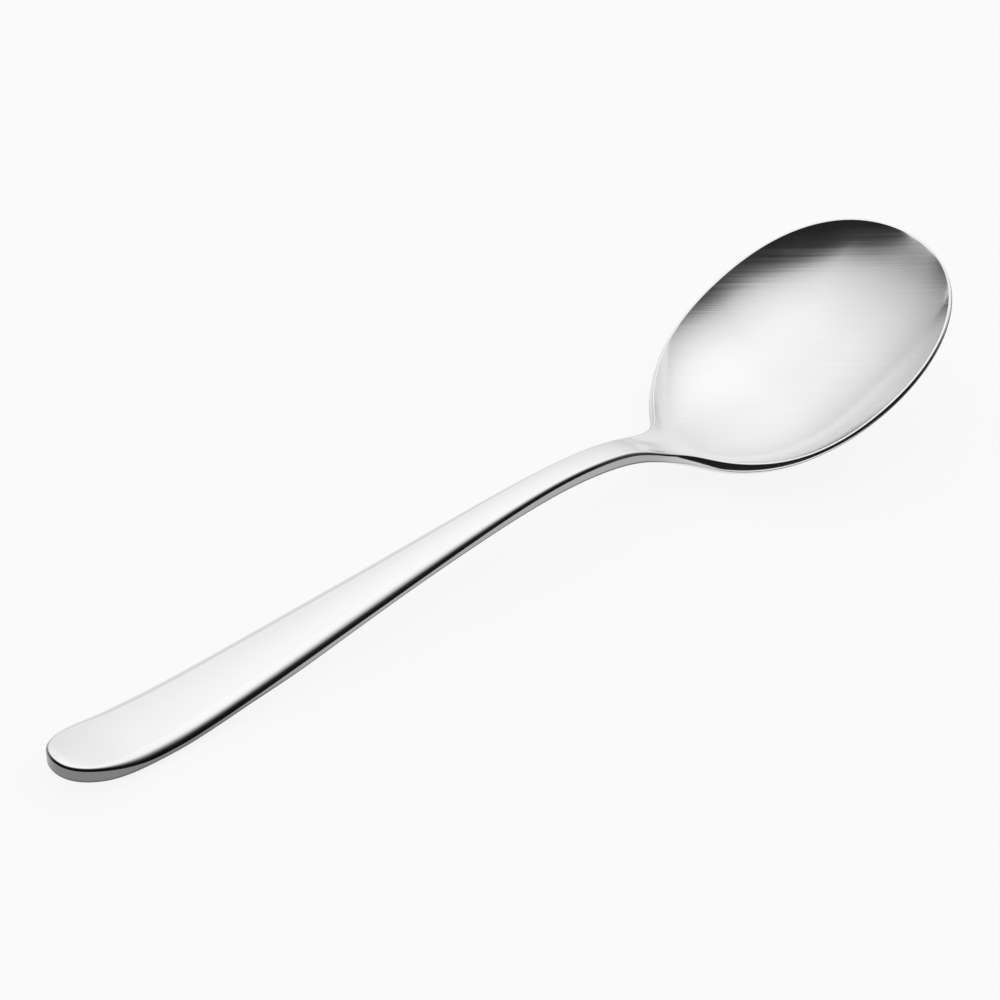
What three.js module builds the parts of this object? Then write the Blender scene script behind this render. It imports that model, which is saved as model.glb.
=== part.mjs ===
// Soup spoon, bowl up, as it lies on a table. It is one piece of stainless steel, blanked, rolled thinner
// towards the bowl, pressed to shape and polished, so the part is one closed solid.
// Millimetres. +X runs from the handle end to the tip of the bowl and +Z is up. The origin is on the table,
// half way along the length.
import * as THREE from "three";
import { mergeVertices } from "three/addons/utils/BufferGeometryUtils.js";

// Lengths along the upper edge, one after the other from the handle end
const HANDLE_LENGTH = 112; // handle end to the start of the neck
const NECK_LENGTH = 8; // parallel neck
const FLARE_LENGTH = 22.1; // hollow flare from the neck to the heel of the bowl
const HEEL_LENGTH = 21.3; // round heel to the widest place of the bowl
const FRONT_LENGTH = 27.4; // widest place to the tip

// Widths across the upper edge
const HANDLE_WIDTH = 14.6;
const NECK_WIDTH = 5.3;
const FLARE_WIDTH = 31.5; // where the flare runs into the heel
const BOWL_WIDTH = 46.1;

// Reach of the outline's curves along their tangents
const END_LENGTH = 17.6; // handle end to the widest place of the handle
const END_ROUND = 5.6; // the end's curve, across the handle
const END_RUN = 10.6; // the end's curve, along the handle
const TAPER_START = 13.2;
const TAPER_END = 22.5;
const FLARE_START = 17;
const FLARE_END = 13.4;
const FLARE_ANGLE = 41.7; // degrees between the outline and the length where flare and heel meet
const HEEL_START = 6.3;
const HEEL_END = 10;
const FRONT_START = 19.1;
const TIP_ROUND = 9.8;

// Side view: heights of the upper edge above the table, and where they lie
const REST_AT = 18.6; // middle of the flat that rests on the table, from the handle end
const REST_LENGTH = 5; // length of that flat
const END_LIFT = 2.4; // rise of the handle end above the flat
const END_DROP = 5.5; // reach of the end's curve
const REST_END = 5.5; // reach of the curve that runs into the flat
const REST_START = 14;
const CREST_HEIGHT = 12.5; // upper edge at the top of the arch
const CREST_BACK = 5.9; // top of the arch, back from the start of the neck
const CREST_IN = 21.5;
const CREST_OUT = 21.7;
const DIP_BACK = 6.3; // lowest place of the rim, back from where flare and heel meet
const DIP_IN = 9.2;
const DIP_OUT = 14.1;
const TIP_RISE = 17.2; // rise of the rim from its lowest place to the tip
const TIP_IN = 10.1;

// Thickness of the metal
const HANDLE_THICKNESS = 3.4;
const STEM_THICKNESS = 2.85;
const STEM_THIN_AT = 35; // the handle starts to thin here, from the handle end
const STEM_THIN_LENGTH = 40; // over which it gets the stem's thickness
const BOWL_THICKNESS = 1.5; // at the deepest place
const RIM_THICKNESS = 1.15; // at the bowl's edge
const RIM_THIN_LENGTH = 32; // past the neck, over which the stem's edge thins to the rim's

// Edges. The blank's edge is square to the sheet, so it leans out where the bowl's wall tilts the sheet.
// Along the handle the upper face rolls over and meets the edge face in a crease.
const RIM_TILT = 28; // degrees that the sheet tilts at the rim of the bowl
const TILT_BACK = 7.6; // past the neck, where that tilt starts
const TILT_LENGTH = 8; // over which it grows
const EDGE_ROUND = 2.8; // roll of the handle's upper edges, where it is held
const END_EDGE_ROUND = 0.6; // upper edge at the handle end
const END_EDGE_LENGTH = 30; // over which that edge opens to EDGE_ROUND
const NECK_EDGE_ROUND = 1.2; // upper edges of the neck
const NECK_EDGE_AT = 65; // the handle's edges start to tighten here, from the handle end
const EDGE_CREASE = 24; // degrees by which the handle's upper rounds stop short of the side face
const LOWER_EDGE_ROUND = 0.4;
const RIM_BACK = 4; // past the neck, where the stem's edges start to turn into the rim's
const RIM_ROUND = 0.25; // upper edge of the rim
const RIM_LOWER_ROUND = 0.35;
const RIM_BARREL = 0.05; // swell of the rim's edge face
const CROWN = 0.2; // swell of the handle's upper face
const CROWN_HALF_WIDTH = 3; // a face narrower than this to each side has less swell

// Hollow of the bowl
const BOWL_DEPTH = 9.3; // below the rim at the deepest place
const DEEP_BACK = 30; // deepest place, back from the tip
const SINK_BACK = 1; // past the neck, where the upper face starts to sink into the bowl
const SECTION_POWER = 2.6; // a crosswise section is a parabola of this power, so its middle is a little flat
const FRONT_POWER = 3.4; // the same along the front of the bowl, which rises steeply to the tip
const HEEL_FULLNESS = 1.2; // added to the section's power at the heel, which is fuller there
const HEEL_FULL_BACK = 4; // that fullness starts to fade here, back from where flare and heel meet
const HEEL_FULL_LENGTH = 30; // over which it fades

// Facets along each curve of the outline, and round half a section
const END_STEPS = 12;
const TAPER_STEPS = 14;
const NECK_STEPS = 2;
const FLARE_STEPS = 14;
const HEEL_STEPS = 8;
const FRONT_STEPS = 16;
const UPPER_STEPS = 9; // from the middle of the upper face to the rim
const ROUND_STEPS = 3; // for each rounded edge
const SIDE_STEPS = 2; // down the edge face
const LOWER_STEPS = 9; // from the edge to the middle of the underside

const { lerp, smoothstep, degToRad } = THREE.MathUtils;
const neckAt = HANDLE_LENGTH;
const flareAt = neckAt + NECK_LENGTH;
const heelAt = flareAt + FLARE_LENGTH;
const widestAt = heelAt + HEEL_LENGTH;
const tipAt = widestAt + FRONT_LENGTH;
const rimAt = flareAt + RIM_BACK;
const tiltAt = flareAt + TILT_BACK;
const sinkAt = flareAt + SINK_BACK;
const deepAt = tipAt - DEEP_BACK;
const rimTilt = degToRad(RIM_TILT);
const innerTipAt = tipAt - RIM_ROUND * Math.cos(rimTilt);
const underTipAt = tipAt + RIM_THICKNESS * Math.sin(rimTilt) - RIM_LOWER_ROUND * Math.cos(rimTilt);

// A cubic curve from a first to a last point, each with the tangent step that leads away from it.
function cubic([x0, y0], [stepX0, stepY0], [x1, y1], [stepX1, stepY1]) {
  return new THREE.CubicBezierCurve(
    new THREE.Vector2(x0, y0),
    new THREE.Vector2(x0 + stepX0, y0 + stepY0),
    new THREE.Vector2(x1 + stepX1, y1 + stepY1),
    new THREE.Vector2(x1, y1),
  );
}

// The height of a chain of curves at a place along the spoon, found by halving the curve's parameter.
function heightOn(curves, place) {
  const curve = curves.find((c) => place <= c.v3.x) ?? curves.at(-1);
  let low = 0;
  let high = 1;
  for (let i = 0; i < 40; i++) {
    const middle = (low + high) / 2;
    if (curve.getPoint(middle).x < place) low = middle;
    else high = middle;
  }
  return curve.getPoint((low + high) / 2).y;
}

// Thickness of the metal's edge: the handle's, thinning to the stem's and then to the rim's.
function edgeThickness(place) {
  const stemShare = smoothstep(place, STEM_THIN_AT, STEM_THIN_AT + STEM_THIN_LENGTH);
  const stem = lerp(HANDLE_THICKNESS, STEM_THICKNESS, stemShare);
  return lerp(stem, RIM_THICKNESS, smoothstep(place, flareAt, flareAt + RIM_THIN_LENGTH));
}

// Share of the bowl's depth along its middle line: it sinks from the neck and rises again to the given end.
function hollow(place, end) {
  if (place < deepAt) return smoothstep(place, sinkAt, deepAt);
  return 1 - Math.min(1, (place - deepAt) / (end - deepAt)) ** FRONT_POWER;
}

// Depth of the underside below the upper edge, along the middle line
function underDepth(place) {
  return lerp(edgeThickness(place), BOWL_DEPTH + BOWL_THICKNESS, hollow(place, underTipAt));
}

// Power of a crosswise section: a full, steep-sided heel fades into the open front of the bowl.
function sectionPower(place) {
  const fadeFrom = heelAt - HEEL_FULL_BACK;
  return SECTION_POWER + HEEL_FULLNESS * (1 - smoothstep(place, fadeFrom, fadeFrom + HEEL_FULL_LENGTH));
}

// Half the outline of the upper edge seen from above, end to tip, as curves with their numbers of facets
function outlineCurves() {
  const handle = HANDLE_WIDTH / 2;
  const neck = NECK_WIDTH / 2;
  const heel = FLARE_WIDTH / 2;
  const bowl = BOWL_WIDTH / 2;
  const third = NECK_LENGTH / 3;
  const along = Math.cos(degToRad(FLARE_ANGLE));
  const across = Math.sin(degToRad(FLARE_ANGLE));
  const flareEnd = [-FLARE_END * along, -FLARE_END * across];
  const heelStart = [HEEL_START * along, HEEL_START * across];
  return [
    [cubic([0, 0], [0, END_ROUND], [END_LENGTH, handle], [-END_RUN, 0]), END_STEPS],
    [cubic([END_LENGTH, handle], [TAPER_START, 0], [neckAt, neck], [-TAPER_END, 0]), TAPER_STEPS],
    [cubic([neckAt, neck], [third, 0], [flareAt, neck], [-third, 0]), NECK_STEPS],
    [cubic([flareAt, neck], [FLARE_START, 0], [heelAt, heel], flareEnd), FLARE_STEPS],
    [cubic([heelAt, heel], heelStart, [widestAt, bowl], [-HEEL_END, 0]), HEEL_STEPS],
    [cubic([widestAt, bowl], [FRONT_START, 0], [tipAt, 0], [0, TIP_ROUND]), FRONT_STEPS],
  ];
}

// The rim in side view, from its dip beside the neck to the tip
function rimCurve(dipHeight) {
  const dipAt = heelAt - DIP_BACK;
  return cubic([dipAt, dipHeight], [DIP_OUT, 0], [tipAt, dipHeight + TIP_RISE], [-TIP_IN, 0]);
}

// The upper edge in side view. The handle's flat and the bowl's underside both lie on the table, so the rim's
// height follows from the depth of the bowl.
function edgeCurves() {
  const trial = rimCurve(0);
  const bottoms = trial.getPoints(400).map(({ x, y }) => y - underDepth(x));
  const rim = rimCurve(-Math.min(...bottoms));
  const restFrom = REST_AT - REST_LENGTH / 2;
  const restTo = REST_AT + REST_LENGTH / 2;
  const third = REST_LENGTH / 3;
  const flat = HANDLE_THICKNESS;
  const crest = [neckAt - CREST_BACK, CREST_HEIGHT];
  const endStep = [END_DROP, (-END_DROP * END_LIFT) / (restFrom - REST_END)];
  return [
    cubic([0, flat + END_LIFT], endStep, [restFrom, flat], [-REST_END, 0]),
    cubic([restFrom, flat], [third, 0], [restTo, flat], [-third, 0]),
    cubic([restTo, flat], [REST_START, 0], crest, [-CREST_IN, 0]),
    cubic(crest, [CREST_OUT, 0], [rim.v0.x, rim.v0.y], [-DIP_IN, 0]),
    rim,
  ];
}

// The points of the outline with the direction that points inwards, square to the outline
function outlineStations(curves) {
  const stations = [{ place: 0, half: 0, inX: 1, inY: 0 }];
  for (const [curve, steps] of curves) {
    for (let i = 1; i <= steps; i++) {
      const { x, y } = curve.getPoint(i / steps);
      const tangent = curve.getTangent(i / steps);
      stations.push({ place: x, half: y, inX: tangent.y, inY: -tangent.x });
    }
  }
  return stations;
}

// Half a section of the metal, from the middle of the upper face over the edge to the middle underneath. Points
// of the edge lie on lines square to the outline, so it keeps its rounding round the ends.
function halfSection({ place, half, inX, inY }, heightAt) {
  const bowl = smoothstep(place, rimAt, heelAt);
  const tilted = smoothstep(place, tiltAt, tiltAt + TILT_LENGTH);
  const tilt = rimTilt * tilted;
  const thickness = edgeThickness(place);
  const heldRound = lerp(END_EDGE_ROUND, EDGE_ROUND, smoothstep(place, 0, END_EDGE_LENGTH));
  const handleRound = lerp(heldRound, NECK_EDGE_ROUND, smoothstep(place, NECK_EDGE_AT, flareAt));
  const crease = degToRad(EDGE_CREASE) * (1 - bowl);
  const lowerRound = Math.min(lerp(LOWER_EDGE_ROUND, RIM_LOWER_ROUND, bowl), thickness / 2);
  const roomAbove = (thickness - lowerRound) / (1 - Math.sin(crease));
  const upperRound = Math.min(lerp(handleRound, RIM_ROUND, bowl), roomAbove);
  // A point measured from the upper edge: inwards along the tilted sheet, and down through its thickness
  const edgePoint = (inwards, down) => {
    const level = down / thickness;
    const swollen = inwards - RIM_BARREL * tilted * 4 * level * (1 - level);
    const inset = swollen * Math.cos(tilt) - down * Math.sin(tilt);
    const drop = swollen * Math.sin(tilt) + down * Math.cos(tilt);
    const x = place + inset * inX;
    return new THREE.Vector3(x, Math.max(0, half + inset * inY), heightAt(x) - drop);
  };
  const points = [];

  const inner = edgePoint(upperRound * Math.cos(crease), 0);
  const floor = heightAt(inner.x) - BOWL_DEPTH * hollow(inner.x, innerTipAt);
  const sink = Math.max(0, inner.z - floor);
  const swell = CROWN * (1 - bowl) * Math.min(1, inner.y / CROWN_HALF_WIDTH);
  for (let i = 0; i <= UPPER_STEPS; i++) {
    const share = Math.sin(((i / UPPER_STEPS) * Math.PI) / 2);
    const drop = sink * (1 - share ** sectionPower(inner.x)) - swell * (1 - share ** 2);
    points.push(new THREE.Vector3(inner.x, inner.y * share, inner.z - drop));
  }
  for (let i = 1; i <= ROUND_STEPS; i++) {
    const turn = lerp(Math.PI / 2, crease, i / ROUND_STEPS);
    points.push(edgePoint(upperRound * (Math.cos(crease) - Math.cos(turn)), upperRound * (1 - Math.sin(turn))));
  }
  const sideFrom = upperRound * (1 - Math.sin(crease));
  for (let i = 1; i < SIDE_STEPS; i++) {
    points.push(edgePoint(0, lerp(sideFrom, thickness - lowerRound, i / SIDE_STEPS)));
  }
  for (let i = 0; i <= ROUND_STEPS; i++) {
    const turn = ((i / ROUND_STEPS) * Math.PI) / 2;
    points.push(edgePoint(lowerRound * (1 - Math.cos(turn)), thickness - lowerRound * (1 - Math.sin(turn))));
  }
  const lower = points.at(-1);
  const bulge = lower.z - heightAt(lower.x) + underDepth(lower.x);
  for (let i = 1; i <= LOWER_STEPS; i++) {
    const share = Math.cos(((i / LOWER_STEPS) * Math.PI) / 2);
    const drop = bulge * (1 - share ** sectionPower(lower.x));
    points.push(new THREE.Vector3(lower.x, lower.y * share, lower.z - drop));
  }
  return points;
}

// A closed skin over the sections. Each ring is a half section and its mirror image, and at the handle end and
// the tip the two halves meet in one line, where the faces without area are left out.
function loft(sections) {
  const rings = sections.map((right) => {
    const left = right.slice(1, -1).reverse();
    return [...right, ...left.map(({ x, y, z }) => new THREE.Vector3(x, -y, z))];
  });
  const count = rings[0].length;
  const faces = [];
  for (let i = 0; i + 1 < rings.length; i++) {
    for (let k = 0; k < count; k++) {
      const next = (k + 1) % count;
      const corners = [rings[i][k], rings[i + 1][k], rings[i + 1][next], rings[i][next]];
      faces.push([corners[0], corners[1], corners[2]], [corners[0], corners[2], corners[3]]);
    }
  }
  const skin = mergeVertices(new THREE.BufferGeometry().setFromPoints(faces.flat()));
  const kept = [];
  for (let i = 0; i < skin.index.count; i += 3) {
    const [a, b, c] = [skin.index.getX(i), skin.index.getX(i + 1), skin.index.getX(i + 2)];
    if (a !== b && b !== c && c !== a) kept.push(a, b, c);
  }
  skin.setIndex(kept);
  skin.computeVertexNormals();
  skin.computeBoundingBox();
  return skin;
}

const edges = edgeCurves();
const sections = outlineStations(outlineCurves()).map((station) =>
  halfSection(station, (place) => heightOn(edges, place)),
);
const skin = loft(sections);
const polishedSteel = new THREE.MeshStandardMaterial({ color: 0xd9dadb, metalness: 1, roughness: 0.18 });
const spoon = new THREE.Mesh(skin, polishedSteel);
spoon.name = "spoon";
spoon.position.x = -(skin.boundingBox.min.x + skin.boundingBox.max.x) / 2;

const soupSpoon = new THREE.Group();
soupSpoon.add(spoon);

export default soupSpoon;
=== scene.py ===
"""Soup spoon of polished stainless steel, bowl up on a white table, seen from the side of its handle end."""

import bpy
import numpy as np
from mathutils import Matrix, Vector


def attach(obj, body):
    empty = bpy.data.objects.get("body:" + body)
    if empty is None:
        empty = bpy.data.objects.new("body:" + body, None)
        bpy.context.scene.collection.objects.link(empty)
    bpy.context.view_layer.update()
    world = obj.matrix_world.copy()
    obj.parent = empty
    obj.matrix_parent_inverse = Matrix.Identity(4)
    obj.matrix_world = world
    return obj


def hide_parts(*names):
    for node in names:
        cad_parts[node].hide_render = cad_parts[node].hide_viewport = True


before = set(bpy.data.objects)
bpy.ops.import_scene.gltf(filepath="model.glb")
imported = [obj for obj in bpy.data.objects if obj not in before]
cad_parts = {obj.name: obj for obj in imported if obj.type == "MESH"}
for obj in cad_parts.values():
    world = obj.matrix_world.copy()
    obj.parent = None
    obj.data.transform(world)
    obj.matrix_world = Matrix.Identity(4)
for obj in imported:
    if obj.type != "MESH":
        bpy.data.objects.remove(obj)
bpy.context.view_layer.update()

# Sizes of the spoon in millimetres. Places are counted from the handle end along the upper edge, and a
# pair of places is a stretch over which one size eases into the next.

# Outline from above
END_AT = 17.6  # round handle end and taper meet
NECK_AT = 112  # end of the tapering handle
FLARE_AT = 120  # end of the parallel neck
HEEL_AT = 142.1  # flare and heel of the bowl meet
WIDEST_AT = 163.4
TIP_AT = 190.8
END_HALF_WIDTH = 7.3
NECK_HALF_WIDTH = 2.65
HEEL_HALF_WIDTH = 15.75
BOWL_HALF_WIDTH = 23.05
HEEL_SLANT = np.radians(41.7)  # slant of the outline where flare and heel meet

# Upper edge from the side
END_RISE = 2.4  # the handle end turns up
FLAT_FROM = 16.1  # the handle lies level on the table
FLAT_TO = 21.1
CREST_AT = NECK_AT - 5.9  # top of the arch
CREST_HEIGHT = 12.5
DIP_AT = HEEL_AT - 6.3  # lowest place of the rim, beside the neck
TIP_RISE = 17.2  # height of the tip above the dip

# Thickness of the metal
HANDLE_THICKNESS = 3.4
STEM_THICKNESS = 2.85
BOWL_THICKNESS = 1.5
RIM_THICKNESS = 1.15
HANDLE_THINS = (35, 75)
STEM_THINS = (FLARE_AT, FLARE_AT + 32)

# Upper face and underside
BOWL_DEPTH = 9.3
HOLLOW_AT = FLARE_AT + 1  # the bowl starts to deepen
DEEPEST_AT = 160.8
INSIDE_POWER = 2.9  # the higher, the nearer to the tip the floor rises
UNDERSIDE_POWER = 3.4
SECTION_POWER = 2.6  # of a section across the front of the bowl
HEEL_FULLNESS = 1.2  # more power at the heel
SECTION_OPENS = (HEEL_AT - 4, HEEL_AT + 26)
HANDLE_CROWN = 0.2  # rise of the handle's upper face to its middle
CROWN_HALF_WIDTH = 3  # a narrower handle is crowned less

# Edge: a roll above, a bevel, the edge face and a round below
END_ROLL = 0.85  # radius of the roll
HANDLE_ROLL = 2.9
NECK_ROLL = 0.8
RIM_ROLL = 0.25
END_ROLL_GROWS = (3, 18)
HANDLE_ROLL_SHRINKS = (65, FLARE_AT)
NECK_ROLL_SHRINKS = (FLARE_AT, FLARE_AT + 14)
HANDLE_BEVEL = 0.3  # width of the bevel
NECK_BEVEL = 0.5
BEVEL_WIDENS = (75, FLARE_AT)
HANDLE_BEVEL_LEAN = np.radians(29)  # from upright
NECK_BEVEL_LEAN = np.radians(34)
BEVEL_LEANS_MORE = (105, FLARE_AT + 4)
END_LOWER_ROUND = 0.4  # radius of the round below
HANDLE_LOWER_ROUND = 1.2
HEEL_LOWER_ROUND = 0.5
RIM_LOWER_ROUND = 0.35
LOWER_ROUND_GROWS = (6, 16)
LOWER_ROUND_SHRINKS = (34, 50)
EDGE_TO_RIM = (124, HEEL_AT)  # the bevel dies out and the edge becomes the bowl's
HEEL_TO_FRONT_RIM = (150, 166)
RIM_TILT = np.radians(28)  # the sheet leans out at the rim
TWIST = (FLARE_AT, FLARE_AT + 10)  # the top of the edge face turns from upright to that tilt
TWIST_LAG = 9  # its bottom turns this much later
BEVEL_LAG = 2.4  # and the bevel this much
RIM_BARREL = 0.045  # swell of the rim's edge face
BARREL_GROWS = (FLARE_AT + 7.6, FLARE_AT + 15.6)
INNER_TIP_AT = TIP_AT - RIM_ROLL * np.cos(RIM_TILT)
UNDER_TIP_AT = TIP_AT + RIM_THICKNESS * np.sin(RIM_TILT) - RIM_LOWER_ROUND * np.cos(RIM_TILT)

# Dullness of the blank's edge, and painted shade on it that stands in for the shadowed table it mirrors,
# from 0, polished, to 1
END_DULL_AND_SHADE = 0.88
HANDLE_DULL_AND_SHADE = 0.6
DULL_AND_SHADE_FADE = (20, 60)
ROLL_POLISHED_UNSHADED = np.radians((42, 58))  # slopes of the roll over which its polish starts and its painted shade ends
FRONT_RIM_DULL_AND_SHADE = (0.3, 0.6)  # shares of the front rim's edge face over which its dullness and painted shade start
LOWER_ROUND_DULL_AND_SHADE = np.radians((20, 42))  # turns of the heel's lower round over which its dullness and painted shade start

# Grid of the spoon's skin
OUTLINE_STEPS = {"end": 40, "taper": 70, "neck": 12, "flare": 90, "heel": 60, "front": 130}
UPPER_STEPS = 44  # middle of the upper face to the rim
ROUND_STEPS = 14  # round each of the two edges
SIDE_STEPS = 6  # down the edge face
LOWER_STEPS = 32  # edge to the middle of the underside
SIDE_VIEW_STEPS = 400  # along each curve of the side view
END_HOLD = 0.015  # share of a round or face at which a close row keeps its end crisp
BEVEL_HOLD = 0.04  # and of the bevel
MERGE_DECIMALS = 5  # points that agree to this many are one
MILLIMETRE = 0.001


def ease(x, start, end):
    """0 before start and 1 after end, with the curve 3 u^2 - 2 u^3 between them."""
    u = np.clip((x - start) / (end - start), 0, 1)
    return u * u * (3 - 2 * u)


def mixed(a, b, share):
    """A straight mix of a and b."""
    return a + (b - a) * share


def cubic(first, first_step, last, last_step, count):
    """A cubic curve between two points, each with the tangent step that leads away from it into the
    curve. Gives its points and unit tangents."""
    t = np.linspace(0, 1, count + 1)[:, None]
    a, d = np.array(first, float), np.array(last, float)
    b, c = a + first_step, d + last_step
    points = (1 - t) ** 3 * a + 3 * (1 - t) ** 2 * t * b + 3 * (1 - t) * t**2 * c + t**3 * d
    slopes = (1 - t) ** 2 * (b - a) + 2 * (1 - t) * t * (c - b) + t**2 * (d - c)
    return points, slopes / np.linalg.norm(slopes, axis=1, keepdims=True)


def outline():
    """Half the outline of the upper edge from above: six tangent cubics for the handle end, taper, neck,
    flare, heel and the front of the bowl. Gives its points and unit tangents."""
    slant = np.array([np.cos(HEEL_SLANT), np.sin(HEEL_SLANT)])
    end = (END_AT, END_HALF_WIDTH)
    neck = (NECK_AT, NECK_HALF_WIDTH)
    flare = (FLARE_AT, NECK_HALF_WIDTH)
    heel = (HEEL_AT, HEEL_HALF_WIDTH)
    widest = (WIDEST_AT, BOWL_HALF_WIDTH)
    neck_step = (FLARE_AT - NECK_AT) / 3
    # First point and the step from it, last point and the step from it
    parts = {
        "end": ((0, 0), (0, 5.6), end, (-10.6, 0)),
        "taper": (end, (13.2, 0), neck, (-22.5, 0)),
        "neck": (neck, (neck_step, 0), flare, (-neck_step, 0)),
        "flare": (flare, (17, 0), heel, -13.4 * slant),
        "heel": (heel, 6.3 * slant, widest, (-10, 0)),
        "front": (widest, (19.1, 0), (TIP_AT, 0), (0, 9.8)),
    }
    curves = [cubic(*part, OUTLINE_STEPS[name]) for name, part in parts.items()]
    points = np.vstack([curves[0][0]] + [c[0][1:] for c in curves[1:]])
    tangents = np.vstack([curves[0][1]] + [c[1][1:] for c in curves[1:]])
    return points, tangents


def edge_thickness(x):
    """The handle's thickness, easing to the stem's and then to the rim's."""
    stem = mixed(HANDLE_THICKNESS, STEM_THICKNESS, ease(x, *HANDLE_THINS))
    return mixed(stem, RIM_THICKNESS, ease(x, *STEM_THINS))


def hollow(x, end, power):
    """Share of the bowl's depth on the middle line: eased in from the neck, then 1 - u^power to the end."""
    front = np.clip((x - DEEPEST_AT) / (end - DEEPEST_AT), 0, 1)
    return np.where(x < DEEPEST_AT, ease(x, HOLLOW_AT, DEEPEST_AT), 1 - front**power)


def under_depth(x):
    """Depth of the underside below the upper edge on the middle line: the edge's thickness, mixed by the
    hollow's share with the bowl's depth and thickness."""
    share = hollow(x, UNDER_TIP_AT, UNDERSIDE_POWER)
    return mixed(edge_thickness(x), BOWL_DEPTH + BOWL_THICKNESS, share)


def section_power(x):
    """A section across the bowl is a parabola of this power: full at the heel, more open at the front."""
    return SECTION_POWER + HEEL_FULLNESS * (1 - ease(x, *SECTION_OPENS))


def upper_edge():
    """The upper edge in side view as dense points: cubics for the upturned end, the arch, the dip beside
    the neck and the rising rim, and a straight flat after the first. The rim's height is such that the
    bowl's underside touches the table."""
    rim = cubic((DIP_AT, 0), (14.1, 0), (TIP_AT, TIP_RISE), (-10.1, 0), SIDE_VIEW_STEPS)[0]
    dip = -np.min(rim[:, 1] - under_depth(rim[:, 0]))
    flat = HANDLE_THICKNESS
    crest = (CREST_AT, CREST_HEIGHT)
    run = 5.5  # of both tangent steps at the upturned end
    fall = run * END_RISE / (FLAT_FROM - run)
    end = cubic((0, flat + END_RISE), (run, -fall), (FLAT_FROM, flat), (-run, 0), SIDE_VIEW_STEPS // 2)[0]
    arch = cubic((FLAT_TO, flat), (14, 0), crest, (-21.5, 0), SIDE_VIEW_STEPS)[0]
    descent = cubic(crest, (21.7, 0), (DIP_AT, dip), (-9.2, 0), SIDE_VIEW_STEPS)[0]
    return np.vstack([end, arch, descent, rim + (0, dip)])


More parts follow.
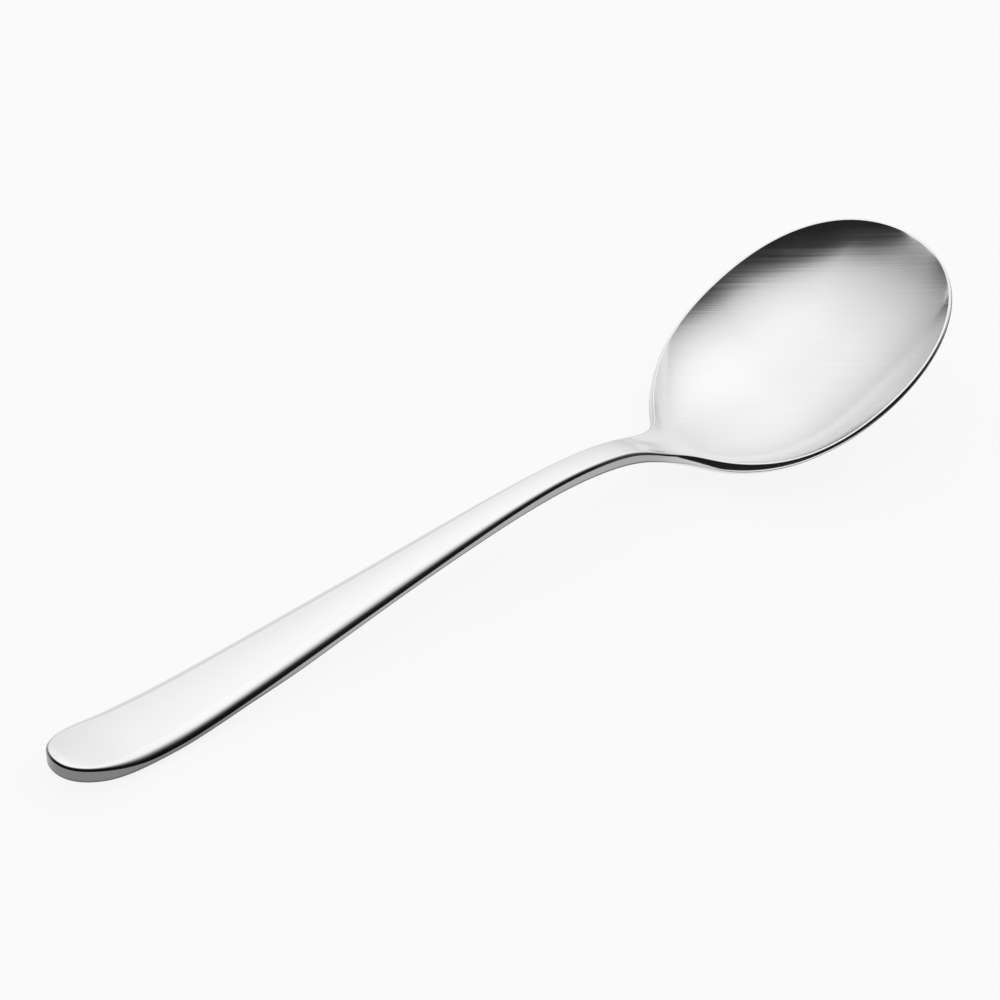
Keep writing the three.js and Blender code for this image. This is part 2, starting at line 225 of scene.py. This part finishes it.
def spoon_skin():
    """Rows of points along the half outline, from the middle of the upper face over the edge to the middle
    underneath. The edge is measured inwards along the sheet and down through it: a roll from level to the
    bevel's lean, a straight bevel, the edge face, which swells on the rim as 4 u (1 - u), and a quarter
    round below. It is turned out by the sheet's tilt, which starts at the neck, at the top of the edge
    first, so the edge face twists. Above and below, height falls from edge to middle as 1 - share^power,
    and the handle's upper face rises as 1 - share^2. Each point also gets its place along the outline, its
    share of the half width, and its dullness and painted shade: how much duller and darker the blank's
    edge is drawn, its dark colour standing in for the shadowed table that the edge mirrors."""
    points, tangents = outline()
    place, half = points.T
    in_x, in_y = tangents[:, 1], -tangents[:, 0]
    profile = upper_edge()
    thickness = edge_thickness(place)
    bowl = ease(place, *EDGE_TO_RIM)
    front_rim = ease(place, *HEEL_TO_FRONT_RIM)
    barrel = RIM_BARREL * ease(place, *BARREL_GROWS)

    handle_roll = mixed(END_ROLL, HANDLE_ROLL, ease(place, *END_ROLL_GROWS))
    stem_roll = mixed(handle_roll, NECK_ROLL, ease(place, *HANDLE_ROLL_SHRINKS))
    upper_round = mixed(stem_roll, RIM_ROLL, ease(place, *NECK_ROLL_SHRINKS))
    broad = ease(place, *LOWER_ROUND_GROWS) * (1 - ease(place, *LOWER_ROUND_SHRINKS))
    handle_lower = mixed(END_LOWER_ROUND, HANDLE_LOWER_ROUND, broad)
    lower_round = mixed(mixed(handle_lower, HEEL_LOWER_ROUND, bowl), RIM_LOWER_ROUND, front_rim)
    bevel_width = mixed(HANDLE_BEVEL, NECK_BEVEL, ease(place, *BEVEL_WIDENS)) * (1 - bowl)
    lean = mixed(HANDLE_BEVEL_LEAN, NECK_BEVEL_LEAN, ease(place, *BEVEL_LEANS_MORE))
    lean = (lean - RIM_TILT * ease(place - BEVEL_LAG, *TWIST)) * (1 - bowl)
    bevel_in = bevel_width * np.sin(lean)
    bevel_down = bevel_width * np.cos(lean)

    def height(x):
        return np.interp(x, profile[:, 0], profile[:, 1])

    def edge_points(inwards, down):
        level = down / thickness
        tilt = RIM_TILT * ease(place - TWIST_LAG * level, *TWIST)
        inwards = inwards - barrel * 4 * level * (1 - level)
        inset = inwards * np.cos(tilt) - down * np.sin(tilt)
        drop = inwards * np.sin(tilt) + down * np.cos(tilt)
        x = place + inset * in_x
        return np.stack([x, half + inset * in_y, height(x) - drop], -1)

    def face_points(rim, middle_z, share, crown):
        x, y, z = rim.T
        fall = (z - middle_z) * (1 - share ** section_power(x)) - crown * (1 - share**2)
        return np.stack([x + 0 * share, y * share, z - fall], -1)

    round_share = np.append(np.linspace(0, 1 - END_HOLD, ROUND_STEPS), 1)[:, None]
    side_share = np.append([0, END_HOLD], np.linspace(0, 1, SIDE_STEPS + 1)[1:-1])[:, None]
    over = mixed(np.pi / 2, lean, round_share)
    back = round_share * np.pi / 2
    roll_in = upper_round * (np.cos(lean) - np.cos(over))
    roll_down = upper_round * (1 - np.sin(lean))
    roll = edge_points(bevel_in + roll_in, upper_round * (1 - np.sin(over)))
    bevel = edge_points(BEVEL_HOLD * bevel_in, roll_down + (1 - BEVEL_HOLD) * bevel_down)[None]
    side = edge_points(0, mixed(roll_down + bevel_down, thickness - lower_round, side_share))
    lower = edge_points(lower_round * (1 - np.cos(back)), thickness - lower_round * (1 - np.sin(back)))

    inner, under = roll[0], lower[-1]
    depth = BOWL_DEPTH * hollow(inner[:, 0], INNER_TIP_AT, INSIDE_POWER)
    floor = np.minimum(inner[:, 2], height(inner[:, 0]) - depth)
    underside = height(under[:, 0]) - under_depth(under[:, 0])
    crown = HANDLE_CROWN * (1 - bowl) * np.minimum(1, inner[:, 1] / CROWN_HALF_WIDTH)
    upper_share = np.sin(np.linspace(0, np.pi / 2, UPPER_STEPS + 1))[:-1, None]
    lower_share = np.cos(np.linspace(0, np.pi / 2, LOWER_STEPS + 1))[1:, None]
    top = face_points(inner, floor, upper_share, crown)
    bottom = face_points(under, underside, lower_share, 0)
    rows = np.concatenate([top, roll, bevel, side, lower, bottom])
    # Nothing reaches below the table top
    rows[..., 2] = np.maximum(rows[..., 2], 0)

    along = np.concatenate([[0], np.cumsum(np.linalg.norm(np.diff(points, axis=0), axis=1))])
    edge_rows = len(roll) + len(bevel) + len(side) + len(lower)
    share = np.concatenate([upper_share[:, 0], np.ones(edge_rows), lower_share[:, 0]])
    # The blank's edge is duller, and painted darker as shade from the table it mirrors, most at the handle
    # end
    edge_dull_and_shade = mixed(END_DULL_AND_SHADE, HANDLE_DULL_AND_SHADE, ease(place, *DULL_AND_SHADE_FADE))
    # Dullness and painted shade in the order of the rows
    dull_and_painted_shade = np.concatenate([
        0 * top[..., 0],
        edge_dull_and_shade * (1 - bowl) * (1 - ease(over, *ROLL_POLISHED_UNSHADED)),
        (edge_dull_and_shade * (1 - bowl))[None],
        mixed(edge_dull_and_shade, front_rim * ease(side_share, *FRONT_RIM_DULL_AND_SHADE), bowl),
        mixed(1, mixed(ease(back, *LOWER_ROUND_DULL_AND_SHADE), 1, front_rim), bowl),
        0 * bottom[..., 0],
    ])
    # The material reads the place, the share, and the dullness with its painted shade
    finish_and_painted_shade = np.empty_like(rows)
    finish_and_painted_shade[..., 0] = along
    finish_and_painted_shade[..., 1] = share[:, None]
    finish_and_painted_shade[..., 2] = dull_and_painted_shade
    return rows, finish_and_painted_shade


def closed_mesh(name, rows, finish_and_painted_shade):
    """Half sections and their mirror images as rings of one closed skin, in metres, with the middle of its
    length at the origin. Points that fall together at the handle end and the tip are merged, and the faces
    that lose their area there are left out."""
    ring = np.concatenate([rows, rows[-2:0:-1] * (1, -1, 1)])
    finish_and_painted_shade = np.concatenate([finish_and_painted_shade, finish_and_painted_shade[-2:0:-1] * (1, -1, 1)])
    ring[..., 0] -= (rows[..., 0].min() + rows[..., 0].max()) / 2
    count, stations = ring.shape[:2]
    flat = ring.reshape(-1, 3)
    rounded = np.round(flat, MERGE_DECIMALS)
    _, first, same = np.unique(rounded, axis=0, return_index=True, return_inverse=True)
    index = same.reshape(count, stations)
    a, b = index[:, :-1], index[:, 1:]
    c, d = np.roll(b, -1, 0), np.roll(a, -1, 0)
    faces = np.stack([np.stack([a, b, c], -1), np.stack([a, c, d], -1)]).reshape(-1, 3)
    whole = (faces[:, 0] != faces[:, 1]) & (faces[:, 1] != faces[:, 2]) & (faces[:, 2] != faces[:, 0])
    mesh = bpy.data.meshes.new(name)
    mesh.from_pydata(flat[first] * MILLIMETRE, [], faces[whole])
    mesh.polygons.foreach_set("use_smooth", np.ones(len(mesh.polygons), bool))
    # Carries the place, the share, and the dullness with its painted shade to the material
    attribute = mesh.attributes.new("finish_and_painted_shade", "FLOAT_VECTOR", "POINT")
    attribute.data.foreach_set("vector", finish_and_painted_shade.reshape(-1, 3)[first].ravel())
    mesh.update()
    return mesh


def linear(code):
    """An sRGB hex colour as linear red, green, blue and alpha."""
    srgb = np.array([int(code[i : i + 2], 16) for i in (1, 3, 5)]) / 255
    shade = np.where(srgb <= 0.04045, srgb / 12.92, ((srgb + 0.055) / 1.055) ** 2.4)
    return (*shade, 1.0)


def node(tree, kind, inputs=(), **settings):
    """Adds a node with its settings, and sets or links each input, given as its socket and a value or an
    output."""
    made = tree.nodes.new(kind)
    for name, value in settings.items():
        setattr(made, name, value)
    for socket, value in inputs:
        if isinstance(value, bpy.types.NodeSocket):
            tree.links.new(value, made.inputs[socket])
        else:
            made.inputs[socket].default_value = value
    return made


# Finish of the steel, and the painted shade of its edge
GROOVE_TONE = "#EAEAEA"  # in the polishing lines
RIDGE_TONE = "#F2F2F2"  # between them
# Painted shade: the edge's dark tone stands in for the shadowed table it mirrors, as well as its duller
# metal
CUT_EDGE_AND_PAINTED_SHADE_TONE = "#6E6E6E"
BOWL_LINES_FROM = 126  # millimetres along the outline, where the handle's lines give way to the bowl's
BOWL_LINES_TO = 140
BOWL_LINE_ALONG = (20, -15, 0)  # per metre, so 40 mm long
BOWL_LINE_ACROSS = (570, 745, 1040)  # per metre, so 0.7 mm apart
HANDLE_LINES = (1 / 30, 60, 0)  # 30 mm long, and 60 in the half width, so 0.12 mm apart where it is widest
PATCHES = 125.0  # per metre, so 8 mm across
NOISE_LOW = 0.3  # most of a noise lies between these
NOISE_HIGH = 0.7
GROOVE_ROUGHNESS = 0.09
RIDGE_ROUGHNESS = 0.15
PATCH_ROUGHNESS = 0.015  # more or less
BOWL_ROUGHNESS = 0.035  # added in the bowl
CUT_ROUGHNESS = 0.05  # added where the edge is duller
LINE_DEPTH = 0.0001  # metres
LINE_BUMP = 0.07
HANDLE_LINE_BUMP = 0.5  # share of the bowl's


def polished_stainless_steel():
    """Stainless steel, pressed from strip and polished on wheels: a clear but not perfect mirror.
    Hair-fine lines follow the outline of the handle and run straight over the bowl, the polish is slightly
    uneven, and the edge of the blank is duller. That edge is also painted darker, a painted shade that
    stands in for the shadowed table which it mirrors."""
    made = bpy.data.materials.new("polished_stainless_steel")
    made.use_nodes = True
    tree = made.node_tree
    tree.nodes.clear()
    finish_and_painted_shade = node(tree, "ShaderNodeAttribute", attribute_name="finish_and_painted_shade").outputs["Vector"]
    parts = node(tree, "ShaderNodeSeparateXYZ", [(0, finish_and_painted_shade)])
    # Dullness of the blank's edge, which also paints shade into its colour
    dull_and_painted_shade = parts.outputs["Z"]
    place = node(tree, "ShaderNodeTexCoord").outputs["Object"]
    # Polishing lines of the bowl: straight cuts of a wheel that leans. The real ones are too fine to show,
    # so they are drawn coarser.
    along = node(tree, "ShaderNodeVectorMath", [
        (0, place), (1, BOWL_LINE_ALONG)], operation="DOT_PRODUCT")
    across = node(tree, "ShaderNodeVectorMath", [
        (0, place), (1, BOWL_LINE_ACROSS)], operation="DOT_PRODUCT")
    bowl_at = node(tree, "ShaderNodeCombineXYZ", [
        ("X", along.outputs["Value"]), ("Y", across.outputs["Value"])])
    # Polishing lines of the handle: along the outline
    handle_at = node(tree, "ShaderNodeVectorMath", [
        (0, finish_and_painted_shade), (1, HANDLE_LINES)], operation="MULTIPLY")
    in_bowl = node(tree, "ShaderNodeMapRange", [
        ("Value", parts.outputs["X"]), ("From Min", BOWL_LINES_FROM),
        ("From Max", BOWL_LINES_TO)]).outputs[0]
    lines_at = node(tree, "ShaderNodeMix", [
        ("Factor", in_bowl), ("A", handle_at.outputs[0]), ("B", bowl_at.outputs[0])], data_type="VECTOR")
    lines = node(tree, "ShaderNodeTexNoise", [
        ("Vector", lines_at.outputs["Result"]), ("Scale", 1.0), ("Detail", 3.0),
        ("Roughness", 0.6)]).outputs["Fac"]
    # Unevenness of the polish: soft patches
    patches = node(tree, "ShaderNodeTexNoise", [
        ("Vector", place), ("Scale", PATCHES), ("Detail", 2.0)])
    line_rough = node(tree, "ShaderNodeMapRange", [
        ("Value", lines), ("From Min", NOISE_LOW), ("From Max", NOISE_HIGH),
        ("To Min", GROOVE_ROUGHNESS), ("To Max", RIDGE_ROUGHNESS)])
    patch_rough = node(tree, "ShaderNodeMapRange", [
        ("Value", patches.outputs["Fac"]), ("From Min", NOISE_LOW), ("From Max", NOISE_HIGH),
        ("To Min", -PATCH_ROUGHNESS), ("To Max", PATCH_ROUGHNESS)])
    bowl_rough = node(tree, "ShaderNodeMath", [
        (0, in_bowl), (1, BOWL_ROUGHNESS), (2, patch_rough.outputs[0])], operation="MULTIPLY_ADD")
    polish_rough = node(tree, "ShaderNodeMath", [
        (0, line_rough.outputs[0]), (1, bowl_rough.outputs[0])], operation="ADD")
    rough = node(tree, "ShaderNodeMath", [
        (0, dull_and_painted_shade), (1, CUT_ROUGHNESS), (2, polish_rough.outputs[0])], operation="MULTIPLY_ADD")
    polish_tone = node(tree, "ShaderNodeMix", [
        ("Factor", lines), ("A", linear(GROOVE_TONE)), ("B", linear(RIDGE_TONE))], data_type="RGBA")
    # Painted shade: the edge's colour darkens towards the dark tone, standing in for the shadowed table it
    # mirrors
    tone_with_painted_shade = node(tree, "ShaderNodeMix", [
        ("Factor", dull_and_painted_shade), ("A", polish_tone.outputs["Result"]), ("B", linear(CUT_EDGE_AND_PAINTED_SHADE_TONE))], data_type="RGBA")
    line_bump = node(tree, "ShaderNodeMapRange", [("Value", in_bowl), ("To Min", HANDLE_LINE_BUMP)])
    height = node(tree, "ShaderNodeMath", [
        (0, lines), (1, line_bump.outputs[0])], operation="MULTIPLY")
    bump = node(tree, "ShaderNodeBump", [
        ("Strength", LINE_BUMP), ("Distance", LINE_DEPTH), ("Height", height.outputs[0])])
    steel = node(tree, "ShaderNodeBsdfPrincipled", [
        ("Metallic", 1.0), ("Roughness", rough.outputs[0]), ("Base Color", tone_with_painted_shade.outputs["Result"]),
        ("Normal", bump.outputs["Normal"])])
    node(tree, "ShaderNodeOutputMaterial", [("Surface", steel.outputs["BSDF"])])
    return made


WHITE = (1, 1, 1, 1)
TABLE_TONE = "#F8F8F8"
TABLE_REACH = 4  # metres from its middle to each side
SEEN_WHITE = 0.86  # share of plain white in the table as the camera sees it
MIRRORED_WHITE = 0.75  # and as the metal mirrors it


def white_table():
    """Matt white table top. It is lifted to white for the camera and for what the metal mirrors, and keeps
    a soft shadow."""
    made = bpy.data.materials.new("matt_white_table")
    made.use_nodes = True
    tree = made.node_tree
    tree.nodes.clear()
    paint = node(tree, "ShaderNodeBsdfDiffuse", [("Color", linear(TABLE_TONE))])
    glow = node(tree, "ShaderNodeEmission", [("Color", WHITE), ("Strength", 1.0)])
    path = node(tree, "ShaderNodeLightPath").outputs
    mirrored = node(tree, "ShaderNodeMath", [
        (0, path["Is Glossy Ray"]), (1, path["Is Transmission Ray"])], operation="MAXIMUM")
    dimmer = node(tree, "ShaderNodeMath", [
        (0, mirrored.outputs[0]), (1, MIRRORED_WHITE)], operation="MULTIPLY")
    direct = node(tree, "ShaderNodeMath", [
        (0, path["Is Camera Ray"]), (1, SEEN_WHITE)], operation="MULTIPLY")
    share = node(tree, "ShaderNodeMath", [
        (0, direct.outputs[0]), (1, dimmer.outputs[0])], operation="MAXIMUM")
    both = node(tree, "ShaderNodeMixShader", [
        (0, share.outputs[0]), (1, paint.outputs[0]), (2, glow.outputs[0])])
    node(tree, "ShaderNodeOutputMaterial", [("Surface", both.outputs[0])])
    return made


# Studio: directions from the spoon, and levels of light
LIGHT_BRIGHTENS = (0.17, 0.08, 0.92)  # more light that way
FRONT_EDGE = (0.445, 0.48, 0.756)  # square to the light's edge in front
LEFT_EDGE = (0.8, 0.06, 0.6)  # and on the left,
LEFT_EDGE_OUT = 0.34  # which is further out
LIGHT_LEVEL = 0.57
# Distance inside the nearer edge, and the level there
LIGHT_FADE = (
    (0.1, 0.0), (0.15, 0.025), (0.2, 0.17), (0.25, 0.35), (0.3, 0.425), (0.4, 0.5), (0.6, 0.56))
ROOM_LEVEL = 0.013
WALL_LEVEL = 0.026
WALL_EDGE = 0.02
CARD_TOWARDS = (0.6, -0.65, 0.47)
CARD_FROM = 0.95  # the card's soft edge
CARD_TO = 0.985
CARD_LEVEL = 0.13


def studio_world():
    """A very large soft light overhead, brightest straight up, with two straight edges that fade, one in
    front and one on the left. Beyond them are a dim wall and then a dark room, and on the right is a small
    grey card."""
    world = bpy.data.worlds.new("studio")
    world.use_nodes = True
    tree = world.node_tree
    tree.nodes.clear()
    towards = node(tree, "ShaderNodeTexCoord").outputs["Generated"]
    slope = node(tree, "ShaderNodeVectorMath", [
        (0, towards), (1, LIGHT_BRIGHTENS)], operation="DOT_PRODUCT")
    bright = node(tree, "ShaderNodeMath", [(0, slope.outputs["Value"]), (1, 1.0)], operation="ADD")
    front = node(tree, "ShaderNodeVectorMath", [
        (0, towards), (1, FRONT_EDGE)], operation="DOT_PRODUCT")
    left = node(tree, "ShaderNodeVectorMath", [
        (0, towards), (1, LEFT_EDGE)], operation="DOT_PRODUCT")
    left_out = node(tree, "ShaderNodeMath", [
        (0, left.outputs["Value"]), (1, LEFT_EDGE_OUT)], operation="ADD")
    inside = node(tree, "ShaderNodeMath", [
        (0, front.outputs["Value"]), (1, left_out.outputs[0])], operation="MINIMUM").outputs[0]
    shade = node(tree, "ShaderNodeValToRGB", [(0, inside)])
    stops = shade.color_ramp.elements
    stops[0].color, stops[1].color = (0, 0, 0, 1), (LIGHT_LEVEL, LIGHT_LEVEL, LIGHT_LEVEL, 1)
    for at, grey in LIGHT_FADE:
        stops.new(at).color = (grey, grey, grey, 1)
    light = node(tree, "ShaderNodeMath", [
        (0, shade.outputs["Color"]), (1, bright.outputs[0])], operation="MULTIPLY")
    wall = node(tree, "ShaderNodeMapRange", [
        ("Value", inside), ("From Min", 0.0), ("From Max", WALL_EDGE),
        ("To Min", ROOM_LEVEL), ("To Max", WALL_LEVEL)])
    right = node(tree, "ShaderNodeVectorMath", [
        (0, towards), (1, CARD_TOWARDS)], operation="DOT_PRODUCT")
    card = node(tree, "ShaderNodeMapRange", [
        ("Value", right.outputs["Value"]), ("From Min", CARD_FROM), ("From Max", CARD_TO),
        ("To Min", 0.0), ("To Max", CARD_LEVEL)])
    brighter = node(tree, "ShaderNodeMath", [
        (0, light.outputs[0]), (1, card.outputs[0])], operation="MAXIMUM")
    level = node(tree, "ShaderNodeMath", [(0, wall.outputs[0]), (1, brighter.outputs[0])], operation="ADD")
    sky = node(tree, "ShaderNodeBackground", [("Color", WHITE), ("Strength", level.outputs[0])])
    node(tree, "ShaderNodeOutputWorld", [("Surface", sky.outputs[0])])
    return world


spoon = bpy.data.objects.new("spoon_polished", closed_mesh("spoon_polished", *spoon_skin()))
spoon.data.materials.append(polished_stainless_steel())
bpy.context.scene.collection.objects.link(spoon)
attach(spoon, "root")
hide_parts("spoon")

table = bpy.data.meshes.new("table")
corners = [(x * TABLE_REACH, y * TABLE_REACH, 0) for x, y in ((-1, -1), (1, -1), (1, 1), (-1, 1))]
table.from_pydata(corners, [], [(0, 1, 2, 3)])
table.materials.append(white_table())
floor = bpy.data.objects.new("table", table)
bpy.context.scene.collection.objects.link(floor)

bpy.context.scene.world = studio_world()

# Long lens from the near side of the handle end, in metres
CAMERA_AT = (-0.4503, -0.5912, 0.6772)
CAMERA_AIM = (0.00062, 0.00203, 0.01026)
lens = bpy.data.cameras.new("camera")
lens.sensor_width = 36
lens.lens = 205.4
camera = bpy.data.objects.new("camera", lens)
camera.location = CAMERA_AT
camera.rotation_euler = (Vector(CAMERA_AIM) - camera.location).to_track_quat("-Z", "Y").to_euler()
bpy.context.scene.collection.objects.link(camera)
bpy.context.scene.camera = camera
bpy.context.scene.view_settings.view_transform = "Standard"
